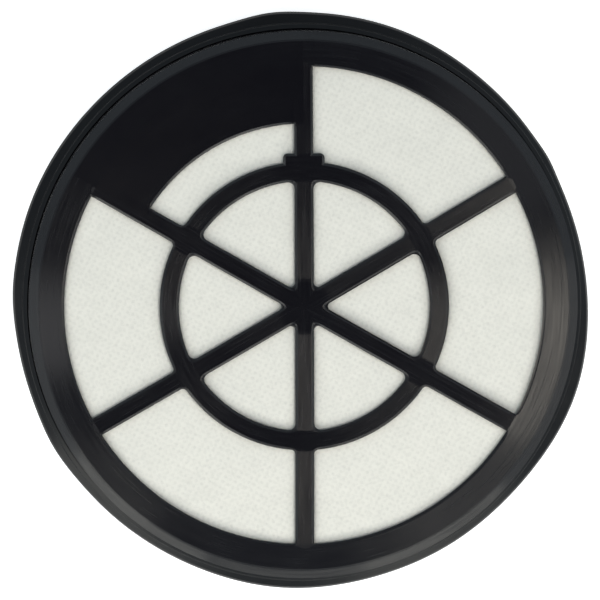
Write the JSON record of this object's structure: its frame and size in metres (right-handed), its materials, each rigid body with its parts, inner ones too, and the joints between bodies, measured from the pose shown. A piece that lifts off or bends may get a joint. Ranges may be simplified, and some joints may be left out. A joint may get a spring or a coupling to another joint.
{
  "type": "vacuum exhaust filter",
  "caption": "Round exhaust filter: a domed black plastic grille with spokes and a blank sector, white fleece behind it and a soft seal ring round its rim.",
  "frame": {"origin": "centre of the rear rim, on the plane that the filter rests on", "axes": "+Z out of the grille, along the filter's axis; +Y from the hub to the spoke with the key pad"},
  "size_m": [0.1384, 0.1384, 0.0178],
  "materials": {
    "frame_plastic": "black moulded plastic, satin, with fine turned and milled tool marks",
    "seal_rubber": "black elastomer, smooth and matte",
    "white_fleece": "white nonwoven fleece with a fine grid of bond dots"
  },
  "bodies": {
    "root": {"frame": "frame_plastic", "seal_ring": "seal_rubber", "filter_fleece": "white_fleece"}
  },
  "joints": []
}
